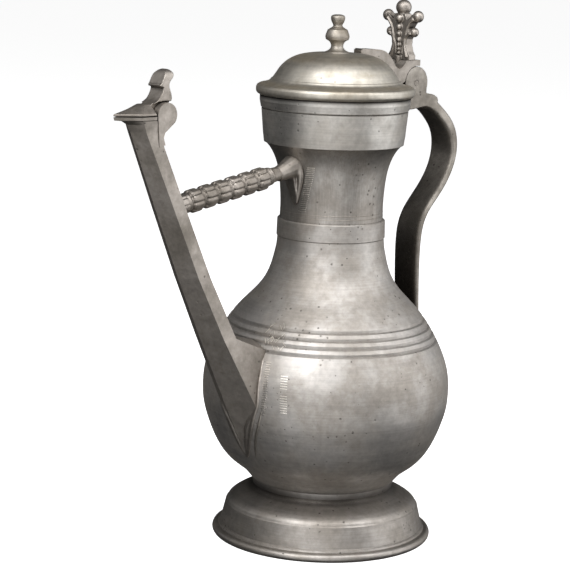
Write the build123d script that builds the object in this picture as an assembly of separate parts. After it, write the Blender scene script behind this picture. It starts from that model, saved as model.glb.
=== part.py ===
from build123d import *
import os
from math import cos, hypot, pi, radians, sin

# A pewter wine flagon with a hinged lid, a long bridged spout and a strap handle.
# Millimetres, +Z up.  The origin is on the axis of the body, in the plane the foot
# stands on.  The spout points to -X and the handle to +X, so the whole object is
# symmetrical about the plane y = 0.

# Body of revolution
foot_radius = 67.0
foot_bead = 2.6
foot_height = 32.0
waist_radius = 43.0
belly_radius = 74.9
belly_height = 93.0
shoulder_height = 184.6
shoulder_radius = 32.1
collar_height = 195.7
collar_radius = 32.7
neck_radius = 31.1
drum_height = 241.2
drum_radius = 41.9
mouth_height = 268.9
mouth_radius = 45.1
wall = 2.4
floor_thickness = 3.0

# Rings turned on the shoulder
ring_heights = (124.0, 128.1, 132.2, 136.3)
ring_half_width = 1.1
ring_depth = 0.75

# Lid, its hinge and what stands on it
lid_rim_radius = 47.5
lid_seat_gap = 0.5
lid_edge_height = 4.6
lid_top_height = 294.7
lid_bezel_radius = 39.4
finial_base_radius = 7.7
lid_pin_x = 64.3
lid_pin_z = 275.0
lid_pin_radius = 1.7
lid_lug_radius = 10.3
hinge_width = 14.5
knuckle_width = 4.9
side_gap = 0.3
running_gap = 0.06

# Handle
handle_width = 14.5
head_underside = 258.7

# Spout, its cover and their hinge
spout_wall = 2.2
spout_mouth = 263.8
cover_gap = 0.4
spout_hinge_width = 17.2
spout_pin_x = -140.5
spout_pin_z = 264.3
spout_pin_radius = 1.3
spout_lug_radius = 6.9
cover_knuckle_width = 8.2
cover_knuckle_radius = 5.0
cover_apex = (-152.9, 270.3)
tab_seat = ((-148.2, 270.4), (-144.8, 271.35), (-140.5, 271.75), (-135.3, 271.6))
tab_width = 11.2
tab_top = 289.0

# Bridge bar between spout and neck
bridge_start = (-119.5, 213.3)
bridge_end = (-31.0, 228.0)
bridge_lobes = 8
bridge_rows = 6
row_pitch = 10.4
lobe_radius = 6.4
valley_radius = 5.1


def point(x, z, y=0.0):
    """A point from its place in the plane of symmetry and its distance from it."""
    return Vector(x, y, z)


def spin(outline):
    """Solid of revolution about the body's axis from a closed outline of (r, z) edges."""
    return revolve(Plane.XZ * make_face(outline), Axis.Z)


def slab(outline, width, centre=0.0):
    """Plate cut to a closed (x, z) outline, lying parallel to the plane of symmetry."""
    face = Plane.XZ.offset(-centre) * make_face(outline)
    return extrude(face, width / 2, both=True)


def disc(x, z, radius, width, centre=0.0):
    """Cylinder across the plane of symmetry."""
    return Pos(x, centre, z) * Rot(90, 0, 0) * Cylinder(radius, width)


def inner_points(curve, thickness, count):
    """Points of a curve moved towards the axis by the wall's thickness.

    The first and last stay at the height of the curve's ends, so that pieces that
    are stacked on each other meet on level faces.
    """
    points = []
    for index in range(count):
        along = index / (count - 1)
        place = curve @ along
        tangent = curve % along
        inward = Vector(-tangent.Y, tangent.X)
        if index in (0, count - 1):
            inward = Vector(-1 / abs(inward.X), 0)
        points.append(place + inward * thickness)
    return points


def wall_outline(outer, thickness, count=7):
    """Closed outline of a wall whose outside is the given rising curve."""
    inner = Spline(*inner_points(outer, thickness, count))
    return outer + inner + Line(outer @ 0, inner @ 0) + Line(outer @ 1, inner @ 1)


# Outside curves of the body, each from its lower to its upper end

def lower_curve():
    return Spline(
        (waist_radius + 0.4, 35.4),
        (47.6, 40.2),
        (57.6, 48.4),
        (66.4, 60.2),
        (72.6, 76.0),
        (belly_radius, belly_height),
        tangents=((1.0, 0.9), (0.0, 1.0)),
    )


def upper_curve():
    return Spline(
        (belly_radius, belly_height),
        (73.6, 105.5),
        (69.6, 117.0),
        (62.7, 130.0),
        (53.3, 142.4),
        (42.3, 154.0),
        (35.8, 166.0),
        (33.0, 177.0),
        (shoulder_radius, shoulder_height),
        tangents=((0.0, 1.0), (-0.08, 1.0)),
    )


def neck_curve():
    return Spline(
        (neck_radius, collar_height),
        (30.9, 204.0),
        (31.5, 215.0),
        (33.0, 225.5),
        (35.7, 233.5),
        (drum_radius - 0.5, drum_height),
        tangents=((-0.05, 1.0), (1.0, 0.75)),
    )


def ring_outside():
    """Outside of the mouth ring, with a turned line below its rim."""
    return (
        (drum_radius, drum_height),
        (42.6, 246.5),
        (43.9, 260.9),
        (43.3, 261.4),
        (44.3, 262.0),
        (mouth_radius, 266.0),
        (mouth_radius, mouth_height),
    )


def body_envelope():
    """The body's outside, filled: what is fixed to it is cut to this form."""
    lower, upper, neck = lower_curve(), upper_curve(), neck_curve()
    chain = Polyline((0, foot_height), (waist_radius, foot_height), lower @ 0)
    chain += lower
    chain += upper
    chain += Polyline(
        upper @ 1,
        (collar_radius, shoulder_height),
        (collar_radius, collar_height),
        neck @ 0,
    )
    chain += neck
    chain += Polyline(neck @ 1, *ring_outside(), (0, mouth_height), (0, foot_height))
    return spin(chain)


# Body

def foot():
    """Hollow trumpet foot with a rolled rim, a step halfway and a domed shoulder."""
    rim_centre = foot_radius - foot_bead
    outline = Line((foot_radius - 6.0, 0), (rim_centre, 0))
    outline += ThreePointArc(
        (rim_centre, 0), (foot_radius, foot_bead), (rim_centre, 2 * foot_bead))
    outline += Polyline(
        (rim_centre, 2 * foot_bead), (63.4, 5.4), (63.0, 6.4), (61.9, 7.2),
        (59.0, 19.4), (58.2, 20.2))
    outline += Spline(
        (58.2, 20.2), (55.6, 23.4), (50.4, 26.4), (45.6, 28.8), (waist_radius, foot_height),
        tangents=((-0.3, 1.0), (-0.2, 1.0)))
    outline += Line((waist_radius, foot_height), (waist_radius - wall, foot_height))
    outline += Spline(
        (waist_radius - wall, foot_height), (43.4, 27.2), (49.0, 24.0), (55.6, 18.4),
        tangents=((0.2, -1.0), (0.2, -1.0)))
    outline += Polyline((55.6, 18.4), (58.6, 6.0), (foot_radius - 6.0, 0))
    return spin(outline)


def belly_lower():
    """Lower half of the belly with the floor of the vessel."""
    outer = lower_curve()
    inner = Spline(*inner_points(outer, wall, 7)[1:])
    floor_top = foot_height + floor_thickness
    outline = Polyline((0, foot_height), (waist_radius, foot_height), outer @ 0)
    outline += outer
    outline += Line(outer @ 1, inner @ 1)
    outline += inner
    outline += Polyline(inner @ 0, (waist_radius - 2.0, floor_top), (0, floor_top), (0, foot_height))
    return spin(outline) - spout_passages()


def share_at(curve, height):
    """How far along a rising curve the given height is, from 0 to 1."""
    steps = 600
    return min(range(steps + 1), key=lambda i: abs((curve @ (i / steps)).Y - height)) / steps


def ringed_outline(outer):
    """The shoulder's outside with a V-shaped groove turned at each ring."""
    chain, done = None, 0.0
    for height in ring_heights:
        start = share_at(outer, height - ring_half_width)
        end = share_at(outer, height + ring_half_width)
        middle = (start + end) / 2
        tangent = outer % middle
        bottom = outer @ middle + Vector(-tangent.Y, tangent.X) * ring_depth
        land = outer.trim(done, start)
        chain = land if chain is None else chain + land
        chain += Polyline(outer @ start, bottom, outer @ end)
        done = end
    return chain + outer.trim(done, 1.0)


def belly_upper():
    """Upper half of the belly, drawn in to the neck, with turned rings on the shoulder."""
    outer = upper_curve()
    inner = Spline(*inner_points(outer, wall, 11))
    outline = ringed_outline(outer) + inner
    outline += Line(outer @ 0, inner @ 0) + Line(outer @ 1, inner @ 1)
    return spin(outline) - spout_passages()


def collar_band():
    """Raised band that covers the joint of belly and neck."""
    inner = shoulder_radius - wall
    bevel = 0.6
    return spin(Polyline(
        (inner, shoulder_height),
        (collar_radius - bevel, shoulder_height),
        (collar_radius, shoulder_height + bevel),
        (collar_radius - 0.2, collar_height - bevel),
        (collar_radius - 0.2 - bevel, collar_height),
        (neck_radius - wall, collar_height),
        (inner, shoulder_height),
    ))


def neck():
    """Neck tube that flares under the mouth ring."""
    return spin(wall_outline(neck_curve(), wall, 8))


def mouth_ring():
    """Drum-shaped mouth ring on top of the neck."""
    return spin(Polyline(
        (drum_radius - 3.6, drum_height),
        *ring_outside(),
        (mouth_radius - 2.6, mouth_height),
        (41.4, 262.0),
        (40.2, 246.0),
        (drum_radius - 3.6, drum_height),
    ))


# Spout

def hexagon(height, front, depth_front, side, depth_back, half_width):
    """Level six-sided section with one corner to the front and one to the back."""
    near = front + depth_front
    far = near + side
    corners = (
        (front, 0),
        (near, -half_width),
        (far, -half_width),
        (far + depth_back, 0),
        (far, half_width),
        (near, half_width),
    )
    return Pos(0, 0, height) * make_face(Polyline(*corners, close=True))


# Sections of the spout from the belly up: height, front corner, depth of the front
# faces, length of the side faces, depth of the back faces, half width
spout_sections = (
    (54.6, -62.5, 12.2, 12.0, 12.0, 19.2),
    (70.0, -72.2, 11.2, 18.0, 18.0, 17.6),
    (85.5, -80.2, 10.1, 25.0, 20.0, 16.2),
    (119.0, -97.2, 8.2, 37.0, 27.0, 13.6),
    (134.0, -104.8, 7.4, 9.4, 4.5, 12.4),
    (171.0, -122.7, 6.3, 8.8, 4.6, 10.7),
    (213.6, -141.7, 5.7, 8.6, 4.2, 9.6),
    (255.5, -160.0, 4.8, 9.1, 3.5, 8.0),
)
lip_sections = (
    (255.5, -160.0, 4.8, 9.1, 3.5, 8.0),
    (259.6, -162.6, 6.0, 9.5, 3.4, 8.2),
    (261.6, -166.4, 9.0, 9.7, 3.4, 8.4),
    (262.1, -171.3, 13.1, 10.0, 3.4, 8.7),
    (spout_mouth, -172.0, 13.6, 10.2, 3.4, 8.8),
)


def ruled_tube(sections, inset=0.0):
    """Straight-sided solid through level sections, drawn in by an inset all round."""
    faces = []
    for height, front, depth_front, side, depth_back, half_width in sections:
        slope = half_width / hypot(half_width, depth_front)
        half = half_width - inset
        front_inset = inset / slope
        scale = half / half_width
        front_depth = depth_front * scale
        back_depth = depth_back * scale
        length = side + depth_front + depth_back - 2 * front_inset
        faces.append(hexagon(
            height, front + front_inset, front_depth,
            length - front_depth - back_depth, back_depth, half))
    solid = None
    for lower, upper in zip(faces, faces[1:]):
        piece = loft([lower, upper], ruled=True)
        solid = piece if solid is None else solid + piece
    return solid


def spout_outside():
    return ruled_tube(spout_sections) + ruled_tube(lip_sections)


def spout_shell():
    """Cast spout: a tapered six-sided tube with a beak, widening into a boot on the belly."""
    top = lip_sections[-1]
    over = (top[0] + 1.0,) + top[1:]
    channel = ruled_tube(spout_sections, spout_wall)
    channel += ruled_tube(lip_sections + (over,), spout_wall)
    return spout_outside() - channel - body_envelope()


def spout_half(shell, side):
    """One of the two castings that are soldered along the front and back corners."""
    block = Pos(-100, side * 30, 150) * Box(200, 60, 300)
    relief = disc(spout_pin_x, spout_pin_z, cover_knuckle_radius + 0.4, cover_knuckle_width + 0.6)
    return (shell & block) - relief


def spout_passages():
    """Holes through the belly wall under the boot of the spout."""
    holes = None
    for height, tilt, radius in ((78.0, 4.0, 6.0), (104.0, -6.0, 7.0)):
        hole = Pos(-72, 0, height) * Rot(0, 90 + tilt, 0) * Cylinder(radius, 24)
        holes = hole if holes is None else holes + hole
    return holes


def spout_lug(side):
    """Teardrop lug on the back of the spout that carries one end of the cover's pin."""
    width = (spout_hinge_width - cover_knuckle_width) / 2 - side_gap
    centre = side * (spout_hinge_width - width) / 2
    radius = spout_lug_radius
    low = radians(-38)
    low_point = (spout_pin_x + radius * cos(low), spout_pin_z + radius * sin(low))
    diagonal = radius * cos(radians(45))
    outline = ThreePointArc(
        (spout_pin_x, spout_pin_z + radius),
        (spout_pin_x - diagonal, spout_pin_z + diagonal),
        (spout_pin_x - radius, spout_pin_z),
    )
    outline += Polyline(
        (spout_pin_x - radius, spout_pin_z),
        (-146.0, 247.0),
        (-141.6, 248.0),
        (-143.0, 252.0),
        (-142.0, 254.8),
        low_point,
    )
    outline += ThreePointArc(
        low_point,
        (spout_pin_x + radius * cos(radians(30)), spout_pin_z + radius * sin(radians(30))),
        (spout_pin_x, spout_pin_z + radius),
    )
    lug = slab(outline, width, centre) - spout_outside()
    return lug - disc(spout_pin_x, spout_pin_z, spout_pin_radius, 40)


def spout_pin():
    return disc(spout_pin_x, spout_pin_z, spout_pin_radius, spout_hinge_width)


def spout_cover():
    """Leaf-shaped cover: a low six-sided roof over the mouth, with the middle knuckle."""
    base = spout_mouth + cover_gap
    height, front, depth_front, side, depth_back, half_width = lip_sections[-1]
    back = front + depth_front + side
    rim_height = 1.2
    foot_face = hexagon(base, front, depth_front, side, depth_back, half_width)
    rim_face = hexagon(base + rim_height, front - 0.3, depth_front, side, depth_back, half_width)
    apex_x, apex_z = cover_apex
    apex_face = hexagon(apex_z, apex_x - 0.6, 0.8, 4.0, 1.6, 3.4)
    roof = loft([foot_face, rim_face], ruled=True) + loft([rim_face, apex_face], ruled=True)
    roof -= Pos(0, 0, base) * hollow_under(front, depth_front, side, half_width)
    clear = spout_lug_radius + 0.45
    roof -= disc(spout_pin_x, spout_pin_z, clear, 40)
    web = slab(Polyline(
        (back - 1.0, base), (spout_pin_x, base), (-137.2, 267.4), tab_seat[-1], *tab_seat[-2::-1],
        (-150.6, 269.6), (back - 2.0, base + 2.0), close=True), cover_knuckle_width)
    knuckle = disc(spout_pin_x, spout_pin_z, cover_knuckle_radius, cover_knuckle_width)
    bore = disc(spout_pin_x, spout_pin_z, spout_pin_radius + running_gap, 40)
    return roof + web + knuckle - bore


def hollow_under(front, depth_front, side, half_width):
    """Shallow hollow under the cover."""
    hollow_base = hexagon(-1.0, front + 6.0, depth_front - 4.0, side - 3.0, 1.0, half_width - 2.6)
    hollow_top = hexagon(2.6, front + 10.0, depth_front - 7.0, side - 4.0, 1.0, half_width - 4.6)
    return loft([hollow_base, hollow_top], ruled=True)


def cover_thumb_tab():
    """Upright tab with a ledge, a recess below it and a leaf curled to the back."""
    recess_top, ledge_low, ledge_high = (-141.0, 279.2), (-142.7, 279.7), (-142.6, 280.9)
    outline = Spline(
        tab_seat[0], (-144.6, 272.6), (-142.0, 276.0), recess_top,
        tangents=((1.0, 0.9), (0.1, 1.0)))
    outline += Polyline(recess_top, ledge_low, ledge_high)
    outline += Spline(
        ledge_high, (-141.0, 284.2), (-138.4, 288.0), (-135.4, tab_top), (-133.4, 286.4),
        (-135.6, 283.2), (-136.9, 280.6), (-135.6, 276.4), (-134.9, 273.2), tab_seat[-1])
    outline += Polyline(*reversed(tab_seat))
    tab = slab(outline, tab_width)
    half = tab_width / 2
    front_view = Polyline((-half, 284.2), (-half - 2, 284.2), (-half - 2, 260.0), (half + 2, 260.0))
    front_view += Polyline((half + 2, 260.0), (half + 2, 284.2), (half, 284.2))
    front_view += ThreePointArc((half, 284.2), (0, tab_top + 0.4), (-half, 284.2))
    across = Plane(origin=(-160, 0, 0), x_dir=(0, 1, 0), z_dir=(1, 0, 0))
    return tab & extrude(across * make_face(front_view), 40)


# Bridge bar

def bridge_plane(distance):
    """Plane across the bridge at a distance from its spout end."""
    run = bridge_end[0] - bridge_start[0]
    rise = bridge_end[1] - bridge_start[1]
    length = hypot(run, rise)
    origin = point(
        bridge_start[0] + run * distance / length, bridge_start[1] + rise * distance / length)
    return Plane(origin=origin, x_dir=(0, 1, 0), z_dir=(run, 0, rise))


def lobed_section(distance, peak, valley):
    """Section of a row of lobes: one arc for each lobe, meeting in narrow valleys."""
    arcs = None
    step = 2 * pi / bridge_lobes
    for index in range(bridge_lobes):
        start, middle, end = (index * step, (index + 0.5) * step, (index + 1) * step)
        arc = ThreePointArc(
            (valley * cos(start), valley * sin(start)),
            (peak * cos(middle), peak * sin(middle)),
            (valley * cos(end), valley * sin(end)))
        arcs = arc if arcs is None else arcs + arc
    return bridge_plane(distance) * make_face(arcs)


def round_section(distance, radius):
    return bridge_plane(distance) * Circle(radius)


def turned(points):
    """Turned length of the bridge through (distance, radius) points."""
    solid = None
    for (start, first), (end, second) in zip(points, points[1:]):
        piece = loft([round_section(start, first), round_section(end, second)], ruled=True)
        solid = piece if solid is None else solid + piece
    return solid


bridge_length = hypot(bridge_end[0] - bridge_start[0], bridge_end[1] - bridge_start[1])
first_row = 3.0
rows_end = first_row + bridge_rows * row_pitch


def bridge_bar():
    """Cast bar: six rows of eight lobes parted by double rings, then a plain tapered stub."""
    ring, groove = 5.7, 4.7
    ring_pair = 2.6
    bar = turned(((0.0, 5.6), (1.2, 5.9), (first_row, groove)))
    for row in range(bridge_rows):
        start = first_row + row * row_pitch
        lobe_end = start + row_pitch - ring_pair
        ends = (valley_radius + 0.4, valley_radius - 0.5)
        low = lobed_section(start, *ends)
        crown = lobed_section((start + lobe_end) / 2, lobe_radius, valley_radius)
        high = lobed_section(lobe_end, *ends)
        bar += loft([low, crown], ruled=True) + loft([crown, high], ruled=True)
        bar += turned((
            (lobe_end, groove), (lobe_end + 0.25 * ring_pair, ring),
            (lobe_end + 0.5 * ring_pair, groove + 0.2), (lobe_end + 0.75 * ring_pair, ring),
            (lobe_end + ring_pair, groove)))
    bar += turned((
        (rows_end, groove), (rows_end + 0.8, 5.4), (rows_end + 1.8, 5.2), (rows_end + 2.4, 4.5),
        (rows_end + 9.0, 4.1), (bridge_length - 6.0, 3.9)))
    return bar


def bridge_boss():
    """Round boss that seats the bar on the back corner of the spout."""
    boss = loft([round_section(-7.0, 6.6), round_section(-1.6, 6.6)], ruled=True)
    boss += loft([round_section(-1.6, 6.6), round_section(0.0, 5.6)], ruled=True)
    return boss - spout_outside()


def bridge_root():
    """Root of the bar on the neck: a flared end with a leaf running down the neck."""
    flare = turned((
        (bridge_length - 6.0, 3.9), (bridge_length - 3.4, 4.6), (bridge_length - 1.2, 6.4),
        (bridge_length + 6.0, 7.6)))
    leaf = loft([
        Pos(-33.0, 0, 225.0) * Rectangle(9.0, 8.0),
        Pos(-31.6, 0, 214.0) * Rectangle(4.6, 6.0),
        Pos(-30.6, 0, 205.6) * Rectangle(1.6, 1.6),
    ], ruled=True)
    stub = turned(((bridge_length - 12.0, 4.1), (bridge_length - 6.0, 3.9)))
    return (flare + leaf) - stub - body_envelope()


# Handle

def handle():
    """Strap handle: a hinge head on the mouth ring, a high bow, and a straight lower limb."""
    outer = Spline(
        (86.2, 262.6), (96.3, 255.2), (102.6, 247.3), (104.8, 236.0), (102.7, 222.7),
        (95.2, 209.8), (82.2, 197.4), (75.6, 189.4), (73.5, 180.0), (74.4, 146.0),
        (78.0, 112.0), (72.0, 91.0))
    inner = Spline(
        (70.4, 260.0), (82.9, 256.2), (91.2, 249.4), (96.3, 240.2), (97.2, 230.6),
        (93.8, 221.2), (85.8, 210.8), (74.4, 199.9), (67.6, 192.2), (65.4, 184.0),
        (67.3, 152.0), (70.0, 112.0), (64.0, 96.0))
    outline = outer + inner
    outline += Line(outer @ 1, inner @ 1)
    outline += Polyline(
        outer @ 0, (85.4, 263.6), (84.4, 265.8), (80.6, 267.6), (74.0, 268.6), (62.0, 268.6),
        (62.0, head_underside + 0.2), inner @ 0)
    strap = slab(outline, handle_width)
    long_edges = [edge for edge in strap.edges() if edge.length > 150]
    strap = chamfer(long_edges, 1.1)
    seat = Polyline(
        (38.0, head_underside), (62.5, head_underside + 0.2), (70.0, 262.0),
        (74.0, 268.6), (74.0, 275.0), (58.0, 280.0), (54.2, 272.8), (49.7, 267.4), (38.0, 266.6),
        close=True)
    head = slab(seat, hinge_width) + disc(lid_pin_x, lid_pin_z, lid_lug_radius, hinge_width)
    slot = disc(lid_pin_x, lid_pin_z, lid_lug_radius + 0.5, knuckle_width + 2 * side_gap)
    slot += Pos(56.0, 0, 277.5) * Box(18.0, knuckle_width + 2 * side_gap, 26.0)
    bore = disc(lid_pin_x, lid_pin_z, lid_pin_radius, 40)
    return (strap + head) - slot - bore - body_envelope()


def lid_pin():
    return disc(lid_pin_x, lid_pin_z, lid_pin_radius, hinge_width)


# Lid

lid_underside = mouth_height + lid_seat_gap


def dome_chain():
    """Outside of the lid from the flat under the finial to the edge of the rim."""
    edge_top = lid_underside + lid_edge_height
    dome_radius = 38.5
    chain = Line((0, lid_top_height), (8.2, lid_top_height))
    chain += Spline(
        (8.2, lid_top_height), (18.0, 294.1), (26.8, 292.1), (33.4, 288.4), (37.2, 283.4),
        (dome_radius, 280.4), tangents=((1.0, 0.0), (0.0, -1.0)))
    chain += Line((dome_radius, 280.4), (dome_radius, 279.0))
    chain += Spline(
        (dome_radius, 279.0), (39.8, 276.4), (43.0, 274.7), (lid_rim_radius - 1.5, edge_top),
        tangents=((0.0, -1.0), (1.0, -0.1)))
    chain += ThreePointArc(
        (lid_rim_radius - 1.5, edge_top),
        (lid_rim_radius, lid_underside + 2.4),
        (lid_rim_radius - 1.2, lid_underside))
    return chain


def lid_form():
    """The lid's outside, filled."""
    chain = dome_chain()
    chain += Polyline(
        (lid_rim_radius - 1.2, lid_underside), (0, lid_underside), (0, lid_top_height))
    return spin(chain)


def lid():
    """Domed lid with a rolled rim and a shallow bezel that drops inside the mouth."""
    bezel_bottom = mouth_height - 2.4
    inner_radius = lid_bezel_radius - 2.0
    chain = dome_chain()
    chain += Polyline(
        (lid_rim_radius - 1.2, lid_underside),
        (lid_bezel_radius, lid_underside),
        (lid_bezel_radius, bezel_bottom),
        (inner_radius, bezel_bottom),
        (inner_radius - 0.6, 277.0),
    )
    inside = Spline(
        (inner_radius - 0.6, 277.0), (35.4, 281.8), (31.6, 286.6), (25.6, 289.9),
        (17.6, 291.8), (8.0, 292.4), tangents=((-0.1, 1.0), (-1.0, 0.0)))
    chain += inside
    chain += Polyline(inside @ 1, (0, 292.4), (0, lid_top_height))
    return spin(chain)


def finial():
    """Turned knob: a flared base, a pear-shaped bulb and a flattened ball."""
    base = lid_top_height
    outline = Line((0, base), (finial_base_radius, base))
    outline += Spline(
        (finial_base_radius, base), (5.6, base + 1.1), (3.8, base + 3.4), (3.7, base + 4.8),
        (4.6, base + 6.6), (7.0, base + 10.0), (6.0, base + 13.4), (3.0, base + 14.5),
        tangents=((-1.0, 0.25), (-1.0, 0.1)))
    outline += ThreePointArc(
        (3.0, base + 14.5), (2.7, base + 15.2), (3.0, base + 15.9))
    outline += Spline(
        (3.0, base + 15.9), (4.3, base + 19.2), (2.6, base + 22.0), (0, base + 22.7),
        tangents=((1.0, 0.5), (-1.0, 0.0)))
    outline += Line((0, base + 22.7), (0, base))
    return spin(outline)


def lid_strap():
    """Strap along the dome that thickens into the hinge block and holds the middle knuckle."""
    top = Polyline((17.8, 290.0), (17.8, 296.0), (19.6, 296.9))
    top += Spline(
        (19.6, 296.9), (28.0, 296.4), (36.6, 294.8), (39.8, 292.2), (43.6, 287.2),
        (47.4, 284.3), (50.8, 285.3), (54.0, 289.2))
    top += Polyline(
        (54.0, 289.2), (66.9, 289.2), (66.9, 286.0), (lid_pin_x, lid_pin_z + 6.0),
        (54.4, 276.9), (47.5, 273.4), (30.0, 273.4), (17.8, 290.0))
    block = slab(top, hinge_width)
    plan = make_face(Polyline(
        (17.0, -2.8), (38.0, -6.4), (42.0, -hinge_width / 2), (80.0, -hinge_width / 2),
        (80.0, hinge_width / 2), (42.0, hinge_width / 2), (38.0, 6.4), (17.0, 2.8), close=True))
    block &= Pos(0, 0, 260) * extrude(plan, 60)
    block -= disc(lid_pin_x, lid_pin_z, lid_lug_radius + 0.4, 40)
    web = slab(Polyline(
        (53.0, 275.6), (lid_pin_x, lid_pin_z), (lid_pin_x + 2.0, 286.2), (52.0, 286.0),
        close=True), knuckle_width)
    knuckle = disc(lid_pin_x, lid_pin_z, lid_lug_radius - 0.3, knuckle_width)
    bore = disc(lid_pin_x, lid_pin_z, lid_pin_radius + running_gap, 40)
    return block + web + knuckle - bore - lid_form()


# Thumbpiece: a fluted stem that opens into arms, with balls on their ends

thumb_base = 289.2
thumb_front = 54.6
thumb_back = 60.4
side_balls = ((12.0, 315.8, 3.2), (9.6, 306.2, 2.6))
front_beads = ((314.2, 2.5), (309.2, 2.0), (305.4, 1.6), (302.3, 1.25), (299.6, 1.0), (297.2, 0.8))


def ball(x, y, z, radius):
    """Ball whose poles lie to the front and back, clear of the faces that cut it."""
    return Pos(x, y, z) * Rot(0, 90, 0) * Sphere(radius)


def thumbpiece():
    half = [
        (8.8, thumb_base), (8.8, 292.0), (7.0, 294.6), (5.9, 298.4), (6.2, 302.0), (7.9, 305.0),
        (7.2, 308.6), (9.0, 312.0), (12.0, 313.6), (12.6, 317.0), (9.6, 317.2), (7.4, 314.8),
        (5.4, 314.0), (4.2, 317.4),
    ]
    corners = half + [(-x, z) for x, z in reversed(half)]
    outline = make_face(Polyline(*corners, close=True))
    face = Plane(origin=(thumb_back, 0, 0), x_dir=(0, 1, 0), z_dir=(1, 0, 0)) * outline
    piece = extrude(face, -(thumb_back - thumb_front))
    middle = (thumb_front + thumb_back) / 2
    piece += ball(middle + 0.3, 0, 321.0, 4.8)
    for side in (-1, 1):
        for offset, height, radius in side_balls:
            piece += ball(middle, side * offset, height, radius)
    for height, radius in front_beads:
        piece += ball(thumb_front, 0, height, radius)
    return piece


def build():
    shell = spout_shell()
    return {
        "foot": foot(),
        "belly_lower": belly_lower(),
        "belly_upper": belly_upper(),
        "collar_band": collar_band(),
        "neck": neck(),
        "mouth_ring": mouth_ring(),
        "spout_near": spout_half(shell, -1),
        "spout_far": spout_half(shell, 1),
        "spout_lug_near": spout_lug(-1),
        "spout_lug_far": spout_lug(1),
        "spout_pin": spout_pin(),
        "bridge_boss": bridge_boss(),
        "bridge_bar": bridge_bar(),
        "bridge_root": bridge_root(),
        "handle": handle(),
        "lid_pin": lid_pin(),
        "lid": lid(),
        "finial": finial(),
        "lid_strap": lid_strap(),
        "thumbpiece": thumbpiece(),
        "spout_cover": spout_cover(),
        "cover_tab": cover_thumb_tab(),
    }


os.makedirs("parts", exist_ok=True)
for name, shape in build().items():
    export_step(shape, f"parts/{name}.step")
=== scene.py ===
"""Finishes, surface work, light and camera for a pewter wine flagon.

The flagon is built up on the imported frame, whose pieces all stay where they are.  This script
gives each one the finish that its making and its age have left on it, adds the soft cast
and soldered forms that sit on the turned body, and sets up a plain studio.
"""

from __future__ import annotations

import logging
import random
from dataclasses import dataclass, field
from enum import Enum
from functools import cache
from math import cos, pi, radians, sin

import bpy
from mathutils import Matrix, Vector

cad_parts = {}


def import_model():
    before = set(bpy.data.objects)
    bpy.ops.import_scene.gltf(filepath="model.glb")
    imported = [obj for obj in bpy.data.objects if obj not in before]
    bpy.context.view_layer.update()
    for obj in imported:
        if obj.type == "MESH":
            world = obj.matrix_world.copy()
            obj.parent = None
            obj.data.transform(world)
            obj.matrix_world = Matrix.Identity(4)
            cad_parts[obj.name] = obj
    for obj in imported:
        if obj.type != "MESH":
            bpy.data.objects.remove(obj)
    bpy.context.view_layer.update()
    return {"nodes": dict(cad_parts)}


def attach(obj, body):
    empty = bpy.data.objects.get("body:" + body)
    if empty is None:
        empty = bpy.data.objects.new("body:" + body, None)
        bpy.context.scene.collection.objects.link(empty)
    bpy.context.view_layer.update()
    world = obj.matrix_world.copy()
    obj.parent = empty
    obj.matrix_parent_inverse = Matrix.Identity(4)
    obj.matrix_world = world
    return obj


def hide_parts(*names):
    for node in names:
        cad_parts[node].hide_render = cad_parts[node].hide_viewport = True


MM = 0.001
LOG = logging.getLogger("flagon")
Socket = bpy.types.NodeSocket
Mesh = bpy.types.Object
Knot = tuple[float, float, float, float]
Triple = tuple[float, float, float]

# Most values of a noise texture lie between these two.
NOISE_LOW = 0.3
NOISE_HIGH = 0.7


def linear(code: str) -> tuple[float, float, float, float]:
    """Turn an sRGB hex colour into linear light.

    Args:
        code: Six hex digits, such as "8f8a82".

    Returns:
        Red, green, blue and an alpha of one.
    """
    parts = [int(code[i:i + 2], 16) / 255 for i in (0, 2, 4)]
    return (*[p / 12.92 if p <= 0.04045 else ((p + 0.055) / 1.055) ** 2.4 for p in parts], 1.0)


def add_node(tree: bpy.types.NodeTree, kind: str, inputs: dict | None = None,
             **settings) -> bpy.types.Node:
    """Add one shader node with its settings, values and links.

    Args:
        tree: Node tree that takes the node.
        kind: Blender's name for the node's type, without "ShaderNode".
        inputs: Value or output socket for each input, by its name or number.
        **settings: The node's own properties.

    Returns:
        The new node.
    """
    node = tree.nodes.new("ShaderNode" + kind)
    for name, value in settings.items():
        setattr(node, name, value)
    for name, value in (inputs or {}).items():
        if isinstance(value, Socket):
            tree.links.new(value, node.inputs[name])
        else:
            node.inputs[name].default_value = value
    return node


class Grain(Enum):
    """How a piece was brought to its surface."""

    TURNED = "rings left by the lathe"
    DRAWN = "strokes along the upright direction"
    CAST = "skin of the mould, scraped here and there"


@dataclass(frozen=True)
class Band:
    """A level zone darkened towards the patina, or as painted shade towards dark oxidised metal.

    Its middle height and its half width are in millimetres.  A share below zero lightens it.
    """

    height: float
    half_width: float
    share: float


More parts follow.
